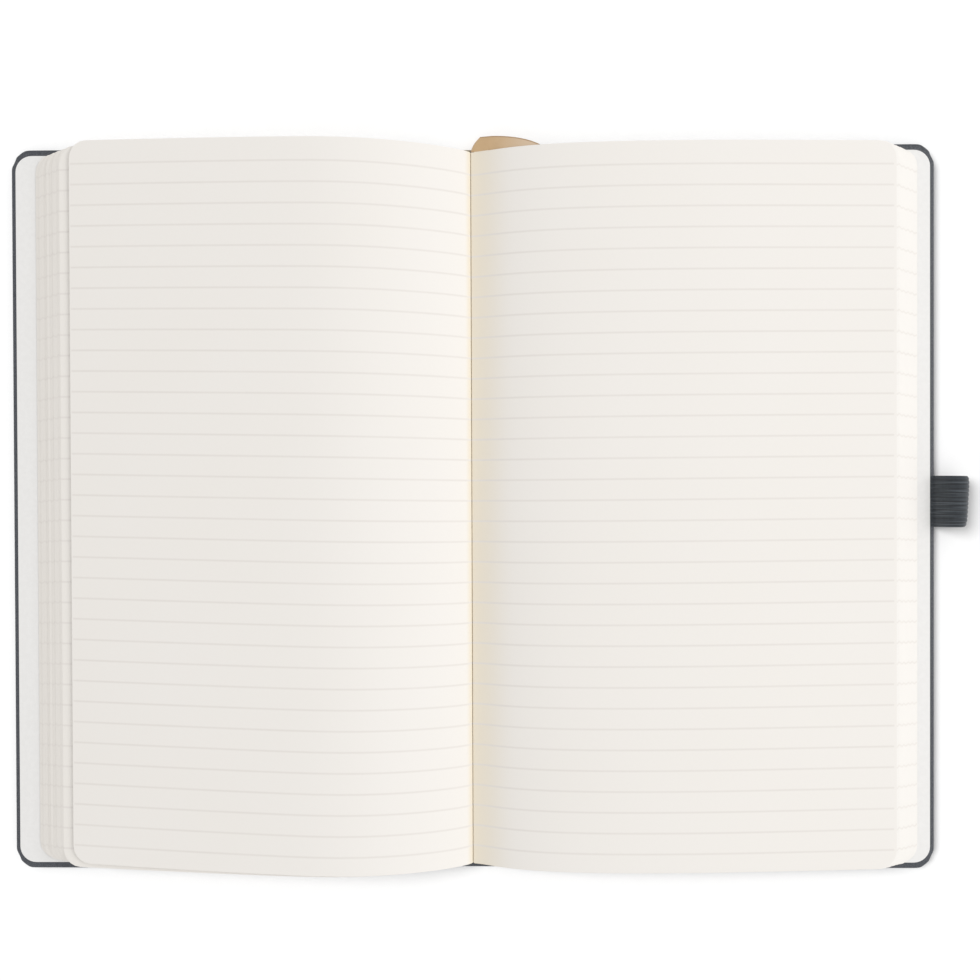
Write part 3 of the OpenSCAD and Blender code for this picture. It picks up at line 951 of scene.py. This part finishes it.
def elastic():
    material, tree, shader, _ = new_finish(
        "elastic", 0.7, Specular_IOR_Level=0.3, Sheen_Weight=0.25, Sheen_Roughness=0.6
    )
    place = add_node(tree, "ShaderNodeUVMap", uv_map="strip").outputs["UV"]
    split = add_node(tree, "ShaderNodeSeparateXYZ", {0: place})
    across, along = split.outputs["X"], split.outputs["Y"]
    weft = calc(tree, "SINE", calc(tree, "MULTIPLY", along, 2 * math.pi / (0.42 * MM)))
    rib_turn = calc(tree, "MULTIPLY", across, math.pi * LOOP_RIBS / LOOP_W)
    out_of_groove_shade = calc(tree, "ABSOLUTE", calc(tree, "SINE", rib_turn))
    cloud = noise_at(tree, place, 1.2 * MM)
    yarn = blend_colours(tree, cloud, (0.020, 0.026, 0.033, 1), (0.040, 0.049, 0.058, 1))
    stretched = add_node(tree, "ShaderNodeMapping", {0: place, 3: (1.0, 0.03, 1.0)}).outputs[0]
    streak = fade(tree, noise_at(tree, stretched, 0.45 * MM, detail=1.0), 0.5, 0.75)
    yarn = blend_colours(tree, streak, yarn, (0.105, 0.120, 0.135, 1))
    # Painted shade: the grooves between the ridges are painted near black.
    colour = blend_colours(tree, fade(tree, out_of_groove_shade, 0.0, 0.5), (0.009, 0.011, 0.014, 1), yarn)
    tree.links.new(colour, shader.inputs["Base Color"])
    fuzz = noise_at(tree, place, 0.15 * MM, detail=3.0)
    height = calc(tree, "ADD", calc(tree, "MULTIPLY", weft, 0.5), fuzz)
    bump(tree, shader, height, 0.03 * MM, 0.6)
    return material


# %% The loop
NECK_Z = BOARD_TOP + SKIN - 0.9 * MM
TIP_X = COVER_HALF + 9.2 * MM - LOOP_THICK / 2
LOOP_LOW, LOOP_HIGH = 0.3 * MM + LOOP_THICK / 2, 8.7 * MM - LOOP_THICK / 2
TIP_Z = (LOOP_LOW + LOOP_HIGH) / 2
RIB_DEPTH = 0.2 * MM


def half_loop(start_z, extreme_z):
    """From the cover to the tip. Mid-curve is an eighth of each end and 3/8 of each handle's height."""
    pull = (extreme_z - (start_z + TIP_Z) / 8) / 0.75
    return interpolate_bezier(
        Vector((COVER_HALF, 0, start_z)),
        Vector((mix(COVER_HALF, TIP_X, 0.4), 0, pull)),
        Vector((TIP_X, 0, pull)),
        Vector((TIP_X, 0, TIP_Z)),
        22,
    )


upper_z, lower_z = COVER_TOP - 0.02 * MM - 0.5 * LOOP_THICK, NECK_Z - 0.5 * LOOP_THICK
tail_x = COVER_HALF - 3 * MM
loop_path = [Vector((tail_x, 0, upper_z))] + half_loop(upper_z, LOOP_HIGH)
loop_path += half_loop(lower_z, LOOP_LOW)[-2::-1] + [Vector((tail_x, 0, lower_z))]
loop_reached = lengths_along(loop_path)

# %% Ridges, and a tip that is shorter towards the tail
RIDGE_ROUND = 0.7
SHORT_AT_HEAD = 0.3 * MM
SHORT_AT_TAIL = 1.1 * MM
CORNER_ROUND = 0.6 * MM
TIP_NARROWER = 0.02

bm = flat_strip(loop_reached[-1], LOOP_W, 44, LOOP_RIBS * 6)
for vert in bm.verts:
    middle, ahead = along_path(loop_path, loop_reached, vert.co.x)
    out = Vector((-ahead.z, 0, ahead.x))
    y = vert.co.y
    ridge = abs(math.sin(math.pi * LOOP_RIBS * (y / LOOP_W + 0.5))) ** RIDGE_ROUND
    half_thick = LOOP_THICK / 2 - RIB_DEPTH * (1 - ridge)
    place = middle + out * half_thick * (2 * vert.co.z - 1)
    reach = max(0, (place.x - COVER_HALF) / (TIP_X - COVER_HALF))
    shorter = mix(SHORT_AT_HEAD, SHORT_AT_TAIL, 0.5 - y / LOOP_W)
    shorter += CORNER_ROUND * abs(2 * y / LOOP_W) ** 8
    vert.co = Vector((place.x - shorter * reach, y * (1 - TIP_NARROWER * reach) + LOOP_Y, place.z))
finish_piece(bm, "elastic_loop", "back_cover", elastic(), ["pen_loop"])

# %% [markdown]
# ## Floor, world and lamps
#
# The book lies on a plain pale floor, lit so that it comes out white, with the book's soft shadow on it.
# The main lamp stands to the right, so the pages are bright where they face right and a little darker
# where they slope to the left. It lights the book alone. A broad soft sun from the upper left lights
# only the floor, and gives the short shadow to the right of the book and below its tail.

# %% Floor
FLOOR_HALF = 3.0
FLOOR_Z = -0.02 * MM
FLOOR_COLOUR = (0.76, 0.76, 0.76, 1)

floor_mesh = bpy.data.meshes.new("floor")
bm = bmesh.new()
bmesh.ops.create_grid(bm, x_segments=1, y_segments=1, size=FLOOR_HALF)
bmesh.ops.translate(bm, vec=(0, 0, FLOOR_Z), verts=bm.verts)
bm.to_mesh(floor_mesh)
bm.free()
floor = bpy.data.objects.new("floor", floor_mesh)
bpy.context.scene.collection.objects.link(floor)

floor_finish, _, shader, _ = new_finish("white_floor", 0.9, Specular_IOR_Level=0.1)
shader.inputs["Base Color"].default_value = FLOOR_COLOUR
floor_mesh.materials.append(floor_finish)

# %% World
WORLD_LEVEL = 0.77

world = bpy.data.worlds.new("studio")
bpy.context.scene.world = world
world.use_nodes = True
tree = world.node_tree
rays = add_node(tree, "ShaderNodeLightPath")
straight = calc(tree, "MAXIMUM", rays.outputs["Is Camera Ray"], rays.outputs["Is Transmission Ray"])
level = add_node(tree, "ShaderNodeMapRange", {0: straight, 3: WORLD_LEVEL, 4: 1.0}).outputs[0]
tree.links.new(level, tree.nodes["Background"].inputs["Strength"])
tree.nodes["Background"].inputs["Color"].default_value = (1, 1, 1, 1)

# %% Lamps
LAMP_AWAY = 1.6


def add_lamp(kind, name, azimuth, elevation, power, **settings):
    """A lamp aimed at the book; azimuth 0 is to the right of it and 90 beyond its head."""
    lamp = bpy.data.objects.new(name, bpy.data.lights.new(name, kind))
    turn, lift = math.radians(azimuth), math.radians(elevation)
    away = Vector((math.cos(turn) * math.cos(lift), math.sin(turn) * math.cos(lift), math.sin(lift)))
    lamp.location = away * LAMP_AWAY
    lamp.rotation_euler = away.to_track_quat("Z", "Y").to_euler()
    lamp.data.energy = power
    for setting, value in settings.items():
        setattr(lamp.data, setting, value)
    bpy.context.scene.collection.objects.link(lamp)
    return lamp


key = add_lamp("AREA", "key", 8, 38, 8.6, size=0.7)
floor_sun = add_lamp("SUN", "floor_sun", 160, 51, 2.53, angle=math.radians(28))
for lamp, state in ((key, "EXCLUDE"), (floor_sun, "INCLUDE")):
    lit = bpy.data.collections.new(lamp.name + "_lights")
    lit.objects.link(floor)
    lit.collection_objects[0].light_linking.link_state = state
    lamp.light_linking.receiver_collection = lit
bpy.context.scene.view_settings.view_transform = "Standard"
